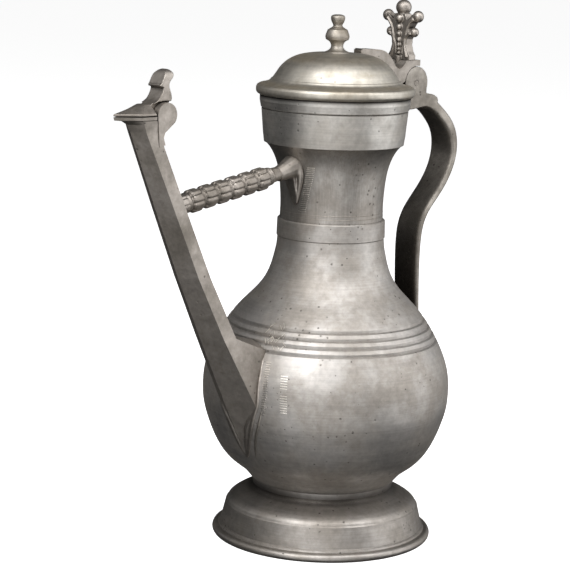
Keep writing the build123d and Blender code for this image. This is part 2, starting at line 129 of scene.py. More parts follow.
@dataclass(frozen=True)
class Pewter:
    """Old pewter: tin with a little copper and lead, a soft grey metal that takes a satin skin.

    Its mirror image is weak and wide, and it oxidises to warmer and darker greys where nothing
    rubs it.  Sizes are in millimetres.  The tool's marks are finer on the real metal than the
    grain here, which is drawn coarse enough to show from a step away.
    """

    name: str
    metal: str
    patina: str
    # Colour of the pits, and of oxidised metal and painted shade in the recesses.
    oxide_and_shade: str = "2b2723"
    grain: Grain = Grain.TURNED
    roughness: float = 0.4
    roughness_spread: float = 0.12
    patina_share: float = 0.45
    stain_size: float = 26.0
    mottle_size: float = 4.0
    mottle: float = 0.16
    streak: float = 0.1
    grain_width: float = 0.9
    grain_depth: float = 0.03
    pit_spacing: float = 3.4
    pit_radius: float = 0.95
    pit_share: float = 0.5
    pit_darkness: float = 0.8
    # Occlusion within recess_depth darkens the metal: oxidation in hollows, and painted shade.
    recess_depth: float = 1.6
    recess_share: float = 0.55
    bands: tuple[Band, ...] = ()
    # Level bands of painted shade, darkened like the recesses.
    painted_shade_bands: tuple[Band, ...] = ()

    def material(self) -> bpy.types.Material:
        """Build the finish as a material.

        Returns:
            The new material.
        """
        made = bpy.data.materials.new(self.name)
        made.use_nodes = True
        tree = made.node_tree
        tree.nodes.clear()
        place = add_node(tree, "TexCoord").outputs["Object"]
        stains = self._stains(tree, place)
        pits = self._pits(tree, place)
        grain = self._grain(tree, place)
        colour = self._colour(tree, stains, pits, self._recess(tree, place), self._tone(tree, place, grain))
        shine = self._roughness(tree, stains, grain, pits)
        bumps = self._bumps(tree, place, grain, pits)
        shader = add_node(tree, "BsdfPrincipled", {
            "Base Color": colour, "Metallic": 1.0, "Roughness": shine, "Normal": bumps})
        add_node(tree, "OutputMaterial", {"Surface": shader.outputs["BSDF"]})
        return made

    def _stains(self, tree: bpy.types.NodeTree, place: Socket) -> Socket:
        """Return the share of patina: wide clouds broken up by small ones, and the level zones."""
        bare_level = 0.62
        wide = add_node(tree, "TexNoise", {
            "Vector": place, "Scale": 1 / (self.stain_size * MM), "Detail": 5.0, "Roughness": 0.62})
        low = bare_level - 0.35 * self.patina_share
        clouds = add_node(tree, "MapRange", {
            "Value": wide.outputs["Fac"], "From Min": low - 0.13, "From Max": low + 0.2},
            interpolation_type="SMOOTHSTEP")
        return self._banded(tree, place, clouds.outputs["Result"], self.bands)

    def _banded(self, tree: bpy.types.NodeTree, place: Socket, share: Socket,
                bands: tuple[Band, ...]) -> Socket:
        """Return a share with level zones added to it, kept between zero and one."""
        height = add_node(tree, "SeparateXYZ", {"Vector": place}).outputs["Z"]
        for band in bands:
            away = add_node(tree, "Math", {0: height, 1: band.height * MM}, operation="SUBTRACT")
            apart = add_node(tree, "Math", {0: away.outputs[0]}, operation="ABSOLUTE")
            near = add_node(tree, "MapRange", {
                "Value": apart.outputs[0], "From Min": 0.0, "From Max": band.half_width * MM,
                "To Min": band.share, "To Max": 0.0}, interpolation_type="SMOOTHSTEP")
            share = add_node(tree, "Math", {0: share, 1: near.outputs["Result"]},
                             operation="ADD", use_clamp=True).outputs[0]
        return share

    def _pits(self, tree: bpy.types.NodeTree, place: Socket) -> Socket:
        """Return how dark a small corrosion pit makes a place, and zero where none lies."""
        ragged_size, ragged_reach, crowd_size, least_pit = 1.2, 0.7, 34.0, 0.05
        ragged = add_node(tree, "TexNoise", {
            "Vector": place, "Scale": 1 / (ragged_size * MM), "Detail": 2.0})
        uneven = add_node(tree, "VectorMath", {
            0: ragged.outputs["Color"], 1: (ragged_reach * MM,) * 3, 2: place},
            operation="MULTIPLY_ADD")
        cells = add_node(tree, "TexVoronoi", {
            "Vector": uneven.outputs["Vector"], "Scale": 1 / (self.pit_spacing * MM), "Randomness": 1.0})
        chosen = add_node(tree, "SeparateColor", {"Color": cells.outputs["Color"]})
        crowd = add_node(tree, "TexNoise", {
            "Vector": place, "Scale": 1 / (crowd_size * MM), "Detail": 2.0})
        limit = add_node(tree, "MapRange", {
            "Value": crowd.outputs["Fac"], "From Min": 0.42, "From Max": 0.68,
            "To Min": 0.0, "To Max": 2 * self.pit_share})
        there = add_node(tree, "Math", {0: limit.outputs["Result"], 1: chosen.outputs["Red"]},
                         operation="GREATER_THAN")
        size = add_node(tree, "Math", {
            0: chosen.outputs["Green"], 1: self.pit_radius / self.pit_spacing}, operation="MULTIPLY")
        floor = add_node(tree, "Math", {0: size.outputs[0], 1: least_pit}, operation="ADD")
        edge = add_node(tree, "MapRange", {
            "Value": cells.outputs["Distance"], "From Min": floor.outputs[0], "From Max": 0.0,
            "To Min": 0.0, "To Max": self.pit_darkness}, interpolation_type="SMOOTHSTEP")
        pit = add_node(tree, "Math", {0: edge.outputs["Result"], 1: there.outputs[0]},
                       operation="MULTIPLY")
        return pit.outputs[0]

    def _grain(self, tree: bpy.types.NodeTree, place: Socket) -> Socket:
        """Return the tool's marks: fine streaks in the direction in which it ran."""
        streak_length, cast_share = 45.0, 0.35
        fine = 1 / (self.grain_width * MM)
        along = 1 / (streak_length * MM)
        scale = {
            Grain.TURNED: (along, along, fine),
            Grain.DRAWN: (fine, fine, along),
            Grain.CAST: (cast_share * fine,) * 3,
        }[self.grain]
        stretched = add_node(tree, "Mapping", {"Vector": place, "Scale": scale})
        marks = add_node(tree, "TexNoise", {
            "Vector": stretched.outputs["Vector"], "Scale": 1.0, "Detail": 3.0, "Roughness": 0.6})
        return marks.outputs["Fac"]

    def _recess(self, tree: bpy.types.NodeTree, place: Socket) -> Socket:
        """Return how far deep places are darkened: oxidation there, and painted shade."""
        open_sky = add_node(tree, "AmbientOcclusion", {"Distance": self.recess_depth * MM},
                            samples=6, only_local=False)
        hidden = add_node(tree, "MapRange", {
            "Value": open_sky.outputs["AO"], "From Min": 0.35, "From Max": 0.9,
            "To Min": self.recess_share, "To Max": 0.0})
        return self._banded(tree, place, hidden.outputs["Result"], self.painted_shade_bands)

    def _tone(self, tree: bpy.types.NodeTree, place: Socket, grain: Socket) -> Socket:
        """Return a grey that lightens and darkens the metal in small clouds and in the streaks."""
        small = add_node(tree, "TexNoise", {
            "Vector": place, "Scale": 1 / (self.mottle_size * MM), "Detail": 4.0, "Roughness": 0.7})
        clouds = add_node(tree, "MapRange", {
            "Value": small.outputs["Fac"], "From Min": NOISE_LOW, "From Max": NOISE_HIGH,
            "To Min": 1 - self.mottle, "To Max": 1 + 0.5 * self.mottle})
        streaks = add_node(tree, "MapRange", {
            "Value": grain, "From Min": NOISE_LOW, "From Max": NOISE_HIGH,
            "To Min": 1 - self.streak, "To Max": 1 + 0.5 * self.streak})
        both = add_node(tree, "Math", {0: clouds.outputs["Result"], 1: streaks.outputs["Result"]},
                        operation="MULTIPLY")
        return both.outputs[0]

    def _colour(self, tree: bpy.types.NodeTree, stains: Socket, pits: Socket, recess: Socket,
                tone: Socket) -> Socket:
        """Return the metal's colour under patina, pits, oxidation and painted shade."""
        aged = add_node(tree, "Mix", {
            "Factor": stains, 6: linear(self.metal), 7: linear(self.patina)}, data_type="RGBA")
        toned = add_node(tree, "Mix", {
            "Factor": 1.0, 6: aged.outputs[2], 7: tone}, data_type="RGBA", blend_type="MULTIPLY")
        oxidised_and_shaded = add_node(tree, "Mix", {
            "Factor": recess, 6: toned.outputs[2], 7: linear(self.oxide_and_shade)}, data_type="RGBA")
        pitted = add_node(tree, "Mix", {
            "Factor": pits, 6: oxidised_and_shaded.outputs[2], 7: linear(self.oxide_and_shade)}, data_type="RGBA")
        return pitted.outputs[2]

    def _roughness(self, tree: bpy.types.NodeTree, stains: Socket, grain: Socket,
                   pits: Socket) -> Socket:
        """Return the roughness: duller under patina, in the marks and in the pits."""
        low = self.roughness
        dull = add_node(tree, "MapRange", {
            "Value": stains, "To Min": low, "To Max": low + self.roughness_spread})
        streaked = add_node(tree, "Math", {
            0: grain, 1: 0.5 * self.roughness_spread, 2: dull.outputs["Result"]},
            operation="MULTIPLY_ADD")
        pit_roughness = 0.25
        pitted = add_node(tree, "Math", {0: pits, 1: pit_roughness, 2: streaked.outputs[0]},
                          operation="MULTIPLY_ADD")
        return pitted.outputs[0]

    def _bumps(self, tree: bpy.types.NodeTree, place: Socket, grain: Socket, pits: Socket) -> Socket:
        """Return the normal: soft dents, then the tool's marks, then the pits."""
        dent_size, dent_depth, pit_depth = 11.0, 0.3, 0.12
        dents = add_node(tree, "TexNoise", {
            "Vector": place, "Scale": 1 / (dent_size * MM), "Detail": 3.0})
        dented = add_node(tree, "Bump", {
            "Height": dents.outputs["Fac"], "Strength": 1.0, "Distance": dent_depth * MM})
        marked = add_node(tree, "Bump", {
            "Height": grain, "Strength": 1.0, "Distance": self.grain_depth * MM,
            "Normal": dented.outputs["Normal"]})
        pitted = add_node(tree, "Bump", {
            "Height": pits, "Strength": 1.0, "Distance": pit_depth * MM,
            "Normal": marked.outputs["Normal"]}, invert=True)
        return pitted.outputs["Normal"]


# Its band at 32 mm is painted shade in the crease where the belly meets the foot.
TURNED_BODY = Pewter(
    "pewter_turned_bright", metal="bdb9b5", patina="a8a29b", roughness=0.47, recess_share=0.35,
    painted_shade_bands=(Band(32.0, 6.5, 0.75),))
# Painted shade: darker metal, a deep recess, and bands on the crease and the fillet's highlight.
TURNED_FOOT = Pewter(
    "pewter_turned_foot", metal="aba6a1", patina="98928b", recess_depth=11.0, recess_share=0.85,
    painted_shade_bands=(Band(31.5, 4.2, 0.8), Band(26.5, 4.0, 0.2)))
# Its band at 269.3 mm is a painted shadow in the gap under the lid's rim.
TURNED_RING = Pewter(
    "pewter_turned_mouth", metal="cac7c2", patina="b6b1aa", patina_share=0.3,
    painted_shade_bands=(Band(269.3, 2.8, 0.9),))
TURNED_NECK = Pewter(
    "pewter_burnished_upright", metal="b1ada8", patina="9c968f", grain=Grain.DRAWN, streak=0.14)
TURNED_LID = Pewter(
    "pewter_turned_brown", metal="c8c3b9", patina="aaa192", patina_share=0.25, pit_share=0.2,
    roughness=0.44,
    bands=(Band(291.5, 4.5, 0.7), Band(276.2, 2.2, 0.8), Band(281.5, 2.5, -0.4)))
KNOB = Pewter(
    "pewter_turned_knob", metal="b7b1a8", patina="8f877b", roughness=0.46, pit_share=0.3,
    recess_share=0.8)
CAST = Pewter(
    "pewter_cast_plain", metal="aba49d", patina="89837b", grain=Grain.CAST, grain_depth=0.08,
    roughness=0.42, recess_share=0.35, pit_share=0.3)
# A 75 mm recess darkens the inner face fully: painted shade where it faces the vessel.
STRAP = Pewter(
    "pewter_cast_strap", metal="aea8a0", patina="88827a", grain=Grain.CAST, grain_depth=0.08,
    roughness=0.42, recess_depth=75.0, recess_share=1.0, pit_share=0.3)
CAST_RELIEF = Pewter(
    "pewter_cast_relief", metal="b3aca5", patina="8f8880", grain=Grain.CAST, grain_depth=0.06,
    roughness=0.4, recess_depth=2.4, recess_share=0.9, pit_share=0.2)
SOLDER = Pewter(
    "pewter_solder", metal="b3ada5", patina="989188", grain=Grain.CAST, roughness=0.36,
    pit_share=0.2)
SCRAPED = Pewter(
    "pewter_scraped", metal="e6e1da", patina="d2ccc3", grain=Grain.CAST, roughness=0.26,
    pit_share=0.0, recess_share=0.0)


@cache
def finished(finish: Pewter) -> bpy.types.Material:
    """Return the one material of a finish."""
    return finish.material()


def dress(piece: Mesh, finish: Pewter) -> None:
    """Give a piece one finish all over.

    Args:
        piece: The piece to dress.
        finish: Its finish.
    """
    piece.data.materials.clear()
    piece.data.materials.append(finished(finish))
    LOG.info("%s is finished in %s", piece.name, finish.name)


def single_out(piece: Mesh) -> None:
    """Select one piece alone and make it the active one."""
    bpy.ops.object.select_all(action="DESELECT")
    piece.select_set(True)
    bpy.context.view_layer.objects.active = piece


def join(name: str, pieces: list[Mesh]) -> Mesh:
    """Make one piece of several.

    Args:
        name: Name of the joined piece.
        pieces: The pieces that go into it.

    Returns:
        The joined piece.
    """
    bpy.ops.object.select_all(action="DESELECT")
    for piece in pieces:
        piece.select_set(True)
    bpy.context.view_layer.objects.active = pieces[0]
    if len(pieces) > 1:
        bpy.ops.object.join()
    made = bpy.context.view_layer.objects.active
    made.name = name
    return made


def take_copy(nodes: list[Mesh], name: str) -> Mesh:
    """Copy CAD nodes into one piece and merge their loose triangles.

    Args:
        nodes: The nodes to copy.
        name: Name of the new piece.

    Returns:
        The new piece.
    """
    copies = []
    for node in nodes:
        copied = bpy.data.objects.new(name, node.data.copy())
        bpy.context.scene.collection.objects.link(copied)
        copies.append(copied)
    made = join(name, copies)
    bpy.ops.object.mode_set(mode="EDIT")
    bpy.ops.mesh.select_all(action="SELECT")
    bpy.ops.mesh.remove_doubles(threshold=0.001 * MM)
    bpy.ops.object.mode_set(mode="OBJECT")
    return made


def modify(piece: Mesh, kind: str, **settings) -> None:
    """Put a modifier on a piece and apply it.

    Args:
        piece: The piece to change.
        kind: Blender's name for the modifier's type.
        **settings: The modifier's own properties.
    """
    single_out(piece)
    bpy.ops.object.modifier_add(type=kind)
    modifier = piece.modifiers[-1]
    for name, value in settings.items():
        setattr(modifier, name, value)
    bpy.ops.object.modifier_apply(modifier=modifier.name)


def melt_together(piece: Mesh, skin: float, rubs: int) -> None:
    """Turn overlapping forms into one casting with worn edges.

    Args:
        piece: The piece that holds the forms.
        skin: Size of the detail that is kept, in millimetres.
        rubs: How many times the surface is smoothed.
    """
    modify(piece, "REMESH", mode="VOXEL", voxel_size=skin * MM)
    modify(piece, "SMOOTH", factor=0.5, iterations=rubs)
    bpy.ops.object.shade_smooth()


def bead(name: str, route: list[Knot]) -> Mesh:
    """Lay a round bead of metal through points.

    Args:
        name: Name of the bead.
        route: Place and radius at each point, in millimetres.

    Returns:
        The bead as a closed mesh.
    """
    bpy.ops.object.select_all(action="DESELECT")
    bpy.ops.curve.primitive_nurbs_path_add()
    curve = bpy.context.object
    curve.data.splines.clear()
    spline = curve.data.splines.new("NURBS")
    spline.points.add(len(route) - 1)
    for knot, (x, y, z, radius) in zip(spline.points, route):
        knot.co = (x * MM, y * MM, z * MM, 1)
        knot.radius = radius
    spline.order_u = 3
    spline.use_endpoint_u = True
    spline.resolution_u = 6
    curve.data.bevel_depth = MM
    curve.data.bevel_resolution = 5
    curve.data.use_fill_caps = True
    bpy.ops.object.convert(target="MESH")
    made = bpy.context.object
    made.name = name
    bpy.ops.object.shade_smooth()
    return made


def globe(name: str, x: float, y: float, z: float, radius: float) -> Mesh:
    """Add one cast ball, a little flattened from the front to the back.

    Args:
        name: Name of the ball.
        x, y, z: Its centre in millimetres.
        radius: Its radius in millimetres.

    Returns:
        The ball.
    """
    flattened = (0.94, 1.0, 1.0)
    bpy.ops.object.select_all(action="DESELECT")
    bpy.ops.mesh.primitive_uv_sphere_add(
        segments=24, ring_count=16, radius=radius * MM, location=(x * MM, y * MM, z * MM))
    bpy.ops.object.mode_set(mode="EDIT")
    bpy.ops.mesh.select_all(action="SELECT")
    bpy.ops.transform.resize(value=flattened, center_override=(x * MM, y * MM, z * MM))
    bpy.ops.object.mode_set(mode="OBJECT")
    bpy.ops.object.transform_apply(location=True, rotation=True, scale=True)
    made = bpy.context.object
    made.name = name
    return made


def skin_over(name: str, loops: list[list[Triple]]) -> Mesh:
    """Skin a row of loops and close both ends.

    Args:
        name: Name of the piece.
        loops: Corners of each loop in millimetres, all in one turning sense.

    Returns:
        The closed piece.
    """
    bpy.ops.object.select_all(action="DESELECT")
    rings = []
    for corners in loops:
        bpy.ops.mesh.primitive_circle_add(vertices=len(corners), radius=MM)
        ring = bpy.context.object
        for vertex, place in zip(ring.data.vertices, corners):
            vertex.co = MM * Vector(place)
        rings.append(ring)
    made = join(name, rings)
    bpy.ops.object.mode_set(mode="EDIT")
    bpy.ops.mesh.select_all(action="SELECT")
    bpy.ops.mesh.bridge_edge_loops()
    bpy.ops.mesh.select_all(action="DESELECT")
    bpy.ops.mesh.select_non_manifold()
    bpy.ops.mesh.fill_holes(sides=len(loops[0]))
    bpy.ops.mesh.select_all(action="SELECT")
    bpy.ops.mesh.normals_make_consistent(inside=False)
    bpy.ops.object.mode_set(mode="OBJECT")
    return made


@dataclass(frozen=True)
class Stop:
    """A point of a lathe outline in millimetres, and whether the outline has a corner there."""

    radius: float
    height: float
    corner: bool = False


def turn(name: str, outline: tuple[Stop, ...], steps: int = 128) -> Mesh:
    """Turn an outline about the flagon's upright axis.

    Args:
        name: Name of the turned piece.
        outline: Points from the axis, round the piece and back to the axis.
        steps: Number of steps in the full turn.

    Returns:
        The turned piece.
    """
    bpy.ops.object.select_all(action="DESELECT")
    bpy.ops.curve.primitive_bezier_curve_add()
    curve = bpy.context.object
    spline = curve.data.splines[0]
    spline.bezier_points.add(len(outline) - len(spline.bezier_points))
    for knot, stop in zip(spline.bezier_points, outline):
        knot.co = (stop.radius * MM, 0, stop.height * MM)
        kind = "VECTOR" if stop.corner else "AUTO"
        knot.handle_left_type = kind
        knot.handle_right_type = kind
    curve.data.dimensions = "3D"
    curve.data.resolution_u = 5
    bpy.ops.object.transform_apply(location=True, rotation=True, scale=True)
    bpy.ops.object.convert(target="MESH")
    bpy.ops.object.mode_set(mode="EDIT")
    bpy.ops.mesh.select_all(action="SELECT")
    bpy.ops.mesh.spin(steps=steps, angle=2 * pi, center=(0, 0, 0), axis=(0, 0, 1))
    bpy.ops.mesh.select_all(action="SELECT")
    bpy.ops.mesh.remove_doubles(threshold=0.002 * MM)
    bpy.ops.mesh.normals_make_consistent(inside=False)
    bpy.ops.object.mode_set(mode="OBJECT")
    bpy.ops.object.shade_smooth_by_angle(angle=radians(28))
    made = bpy.context.object
    made.name = name
    return made


def settle(piece: Mesh, body: str, finish: Pewter,
           stands_for: tuple[str, ...] = ()) -> None:
    """Dress a new piece, let it ride on its body and hide the nodes that it stands for.

    Args:
        piece: The new piece.
        body: The CAD body that carries it.
        finish: The finish of the piece.
        stands_for: Nodes that the piece replaces.
    """
    dress(piece, finish)
    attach(piece, body)
    if stands_for:
        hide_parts(*stands_for)
    LOG.info("%s has %d faces and rides on %s", piece.name, len(piece.data.polygons), body)


def spot_on(nodes: list[Mesh], azimuth: float, height: float) -> tuple[Vector, Vector]:
    """Find where the outside of the body lies at an azimuth and a height.

    Args:
        nodes: Turned nodes to look on.
        azimuth: Direction from the axis, in degrees from +X.
        height: Height above the foot's rim, in millimetres.

    Returns:
        The place in metres and the outward normal.
    """
    well_outside = 0.2
    outward = Vector((cos(radians(azimuth)), sin(radians(azimuth)), 0))
    start = well_outside * outward + Vector((0, 0, height * MM))
    found = [node.ray_cast(start, -outward) for node in nodes]
    hits = [(spot, normal) for hit, spot, normal, _ in found if hit]
    return max(hits, key=lambda pair: pair[0].xy.length)


@dataclass(frozen=True)
class Stroke:
    """One cut of the scraper.

    The azimuth and the slant are in degrees, and the height, length and width in millimetres.
    """

    azimuth: float
    height: float
    slant: float
    length: float
    width: float


def scrape(name: str, nodes: list[Mesh], strokes: list[Stroke]) -> Mesh:
    """Raise the burrs that a scraper leaves in soft metal.

    Args:
        name: Name of the piece.
        nodes: Turned nodes that the strokes lie on.
        strokes: Where each stroke lies.

    Returns:
        All the burrs as one piece.
    """
    burr_height, worn_edge = 0.5, 0.07
    bpy.ops.object.select_all(action="DESELECT")
    bpy.ops.mesh.primitive_cube_add(size=MM)
    pattern = bpy.context.object
    bpy.ops.object.mode_set(mode="EDIT")
    bpy.ops.mesh.select_all(action="SELECT")
    bpy.ops.transform.resize(value=(1.0, 1.0, burr_height))
    bpy.ops.mesh.bevel(offset=worn_edge * MM, segments=2, affect="EDGES")
    bpy.ops.object.mode_set(mode="OBJECT")
    burrs = []
    for stroke in strokes:
        spot, normal = spot_on(nodes, stroke.azimuth, stroke.height)
        level = Vector((0, 0, 1)).cross(normal).normalized()
        rising = normal.cross(level)
        slant = radians(stroke.slant)
        along = cos(slant) * level + sin(slant) * rising
        across = normal.cross(along)
        turned = Matrix((along, across, normal)).transposed().to_4x4()
        shape = Matrix.Diagonal((stroke.length, stroke.width, 1.0, 1.0))
        burr = bpy.data.objects.new(name, pattern.data.copy())
        burr.data.transform(Matrix.Translation(spot) @ turned @ shape)
        bpy.context.scene.collection.objects.link(burr)
        burrs.append(burr)
    bpy.data.objects.remove(pattern)
    return join(name, burrs)


@dataclass
class Body:
    """The turned vessel: foot, belly, collar band, neck and mouth ring."""

    nodes: dict[str, Mesh]
    turned: tuple[str, ...] = ("belly_lower", "belly_upper", "collar_band")
    line_heights: tuple[float, ...] = (198.4, 200.6)
    line_proud: float = 0.12
    line_sunk: float = 0.1
    clear_azimuth: float = 30.0

    def build(self) -> None:
        """Dress the turned pieces and raise the two fine lines above the collar."""
        for name in self.turned:
            dress(self.nodes[name], TURNED_BODY)
        dress(self.nodes["foot"], TURNED_FOOT)
        dress(self.nodes["neck"], TURNED_NECK)
        dress(self.nodes["mouth_ring"], TURNED_RING)
        for number, height in enumerate(self.line_heights, start=1):
            spot, _ = spot_on([self.nodes["neck"]], self.clear_azimuth, height)
            settle(self._fine_line(f"neck_line_{number}", spot.xy.length / MM, height),
                   "vessel", SOLDER)

    def _fine_line(self, name: str, radius: float, height: float) -> Mesh:
        """Return one fine raised line round the neck."""
        bpy.ops.object.select_all(action="DESELECT")
        bpy.ops.mesh.primitive_torus_add(
            major_segments=128, minor_segments=8, location=(0, 0, height * MM),
            major_radius=(radius - self.line_sunk) * MM,
            minor_radius=(self.line_sunk + self.line_proud) * MM)
        bpy.ops.object.transform_apply(location=True, rotation=True, scale=True)
        line = bpy.context.object
        line.name = name
        bpy.ops.object.shade_smooth()
        return line


@dataclass
class Spout:
    """The six-sided spout, its lugs, the bridge that ties it to the neck, and their solder.

    The seam, the ridge and the fill run down the belly beside the boot.  Each of their points
    is a height, an angle from the spout's front and the bead's radius.  The points of the
    root's flare and cheeks are a place and a radius.  Lengths are in millimetres.
    """

    nodes: dict[str, Mesh]
    seam: tuple[Triple, ...] = (
        (127.6, 9.4, 0.8), (121.0, 11.0, 1.1), (114.7, 11.7, 1.2), (105.0, 12.0, 1.2),
        (96.0, 12.5, 1.2), (91.5, 12.0, 1.3), (87.2, 10.6, 1.5), (80.1, 8.9, 1.6), (73.0, 7.0, 1.5),
        (66.0, 4.6, 1.3), (60.0, 2.4, 1.1), (57.6, 0.0, 1.0))
    ridge: tuple[Triple, ...] = (
        (90.0, 14.6, 0.5), (87.0, 14.0, 1.0), (79.4, 12.3, 1.15), (73.7, 10.4, 1.15),
        (66.5, 8.6, 1.1), (60.0, 7.4, 0.7))
    fill: tuple[Triple, ...] = (
        (91.0, 11.8, 1.6), (87.0, 9.9, 2.5), (83.5, 8.0, 3.1), (80.0, 6.4, 3.6), (76.5, 5.2, 3.8),
        (73.0, 4.3, 3.6), (69.5, 3.4, 3.2), (66.0, 2.5, 2.7), (62.0, 1.4, 2.0), (57.6, 0.0, 0.9))
    fill_sunk: float = 0.82
    seam_sunk: float = 0.5
    front_azimuth: float = 180.0
    bridge_start: Vector = field(default_factory=lambda: Vector((-119.5, 0.0, 213.3)))
    bridge_end: Vector = field(default_factory=lambda: Vector((-31.0, 0.0, 228.0)))
    rows: int = 7
    lobes: int = 8
    first_row: float = -7.4
    row_pitch: float = 10.4
    lobe_size: tuple[float, float, float] = (7.9, 4.5, 3.4)
    lobe_bevel: float = 1.5
    lobe_centre: float = 5.0
    first_row_sunk: float = 0.9
    ring_radius: float = 4.7
    ring_wire: float = 0.6
    ring_shares: tuple[float, float] = (0.24, 0.76)
    boss_radius: float = 4.6
    boss_runs: tuple[float, ...] = (-8.6, -3.0, 2.0)
    root_flare: tuple[Knot, ...] = (
        (-47.0, 0.0, 224.9, 4.5), (-41.5, 0.0, 226.4, 5.2), (-37.0, 0.0, 227.9, 6.4),
        (-32.8, 0.0, 229.2, 7.8))
    root_cheek: tuple[Knot, ...] = (
        (-35.2, 4.4, 231.6, 2.0), (-33.6, 6.2, 227.0, 2.3), (-32.8, 5.4, 221.0, 1.9),
        (-32.0, 3.8, 215.0, 1.4), (-31.4, 1.4, 207.0, 0.8))

    def build(self) -> None:
        """Dress the castings, melt the bridge together and lay the solder."""
        for name in ("spout_near", "spout_far", "spout_lug_near", "spout_lug_far", "spout_pin"):
            dress(self.nodes[name], CAST)
        self._bridge()
        self._seams()
        self._marks()

    def _belly(self) -> list[Mesh]:
        """Return the turned nodes under the boot."""
        return [self.nodes["belly_lower"], self.nodes["belly_upper"]]

    def _bridge(self) -> None:
        """Cast the bar, its boss and its root in soft forms."""
        bar = join("bridge_casting", [
            take_copy([self.nodes["bridge_bar"]], "core"), self._boss(), *self._lobes()])
        melt_together(bar, skin=0.3, rubs=2)
        settle(bar, "vessel", CAST_RELIEF, ("bridge_boss", "bridge_bar"))
        flare = bead("root_flare", list(self.root_flare))
        cheeks = [
            bead("root_cheek", [(x, side * y, z, radius) for x, y, z, radius in self.root_cheek])
            for side in (-1, 1)]
        core = take_copy([self.nodes["bridge_root"]], "root")
        root = join("bridge_root_casting", [core, flare, *cheeks])
        melt_together(root, skin=0.35, rubs=8)
        settle(root, "vessel", CAST_RELIEF, ("bridge_root",))

    def _boss(self) -> Mesh:
        """Return the core of the first row, let into the back of the spout."""
        along = (self.bridge_end - self.bridge_start).normalized()
        return bead("boss", [
            (*(self.bridge_start + run * along), self.boss_radius) for run in self.boss_runs])

    def _lobes(self) -> list[Mesh]:
        """Return the cushions and the double rings of the bar."""
        along = (self.bridge_end - self.bridge_start).normalized()
        across = Vector((0, 1, 0))
        rise = along.cross(across)
        bpy.ops.object.select_all(action="DESELECT")
        bpy.ops.mesh.primitive_cube_add(size=MM)
        pattern = bpy.context.object
        bpy.ops.object.mode_set(mode="EDIT")
        bpy.ops.mesh.select_all(action="SELECT")
        bpy.ops.transform.resize(value=self.lobe_size)
        bpy.ops.mesh.bevel(offset=self.lobe_bevel * MM, segments=3, affect="EDGES")
        bpy.ops.object.mode_set(mode="OBJECT")
        forms = []
        for row in range(self.rows):
            start = self.first_row + row * self.row_pitch
            middle = self.bridge_start + (start + 0.5 * self.lobe_size[0]) * along
            for index in range(self.lobes):
                angle = 2 * pi * (index + 0.5) / self.lobes
                outward = cos(angle) * across + sin(angle) * rise
                turned = Matrix((along, outward.cross(along), outward)).transposed().to_4x4()
                centre = self.lobe_centre if row else self.lobe_centre - self.first_row_sunk
                place = Matrix.Translation((middle + centre * outward) * MM)
                lobe = bpy.data.objects.new("lobe", pattern.data.copy())
                lobe.data.transform(place @ turned)
                bpy.context.scene.collection.objects.link(lobe)
                forms.append(lobe)
            for share in self.ring_shares:
                gap = self.row_pitch - self.lobe_size[0]
                centre = self.bridge_start + (start + self.lobe_size[0] + share * gap) * along
                forms.append(self._ring(centre, along))
        bpy.data.objects.remove(pattern)
        return forms

    def _ring(self, centre: Vector, along: Vector) -> Mesh:
        """Return one ring of the bar, square to the bar."""
        bpy.ops.object.select_all(action="DESELECT")
        bpy.ops.mesh.primitive_torus_add(
            major_segments=48, minor_segments=10, major_radius=self.ring_radius * MM,
            minor_radius=self.ring_wire * MM, location=centre * MM,
            rotation=along.to_track_quat("Z", "Y").to_euler())
        bpy.ops.object.transform_apply(location=True, rotation=True, scale=True)
        return bpy.context.object

    def _along_belly(self, side: int, route: tuple[Triple, ...], sunk: float, name: str) -> Mesh:
        """Lay a bead down the belly beside the boot.

        Args:
            side: 1 for the side towards the camera and -1 for the far side.
            route: Height, angle from the spout's front and radius at each point.
            sunk: Share of the radius that lies below the belly's face.
            name: Name of the bead.

        Returns:
            The bead.
        """
        points = []
        for height, angle, radius in route:
            spot, normal = spot_on(self._belly(), self.front_azimuth + side * angle, height)
            centre = (spot - sunk * radius * MM * normal) / MM
            points.append((*centre, radius))
        return bead(name, points)

    def _seams(self) -> None:
        """Fill the corners beside the boot, and lay the near side's fillet and ridge."""
        beads = [self._along_belly(side, self.fill, self.fill_sunk, "fill") for side in (-1, 1)]
        beads.append(self._along_belly(1, self.seam, self.seam_sunk, "fillet"))
        fillet = join("boot_fillet", beads)
        melt_together(fillet, skin=0.35, rubs=7)
        settle(fillet, "vessel", CAST)
        ridge = self._along_belly(1, self.ridge, self.seam_sunk, "boot_ridge")
        settle(ridge, "vessel", SOLDER)

    def _marks(self) -> None:
        """Raise the scraper's strokes beside the boot, over the grooves and beside the root."""
        chance = random.Random(7)
        strokes = self._row_by_boot(chance) + self._long_row() + self._crossed_strokes(chance)
        boot = scrape("boot_scrapes", self._belly(), strokes)
        settle(boot, "vessel", SCRAPED)
        neck = scrape("neck_scrapes", [self.nodes["neck"]], self._row_by_root(chance))
        settle(neck, "vessel", SCRAPED)

    def _row_by_boot(self, chance: random.Random) -> list[Stroke]:
        """Return the row of short strokes that bows out beside the boot."""
        lowest, pitch, nearest, bow, widest, reach = 88.5, 1.3, 14.9, 0.9, 10, 14
        strokes = []
        for step in range(24):
            lean = nearest + bow * (1 - abs(step - widest) / reach)
            strokes.append(Stroke(
                azimuth=self.front_azimuth + lean + chance.uniform(-0.2, 0.2),
                height=lowest + pitch * step, slant=4.0, length=chance.uniform(2.6, 3.2), width=0.55))
        return strokes

    def _long_row(self) -> list[Stroke]:
        """Return the row of longer strokes further round, with its gap in the middle."""
        lowest, pitch, start, drift, gap = 91.0, 1.4, 25.4, 0.07, (8, 9)
        return [Stroke(
            azimuth=self.front_azimuth + start - drift * step, height=lowest + pitch * step,
            slant=0.0, length=4.4, width=0.55) for step in range(16) if step not in gap]

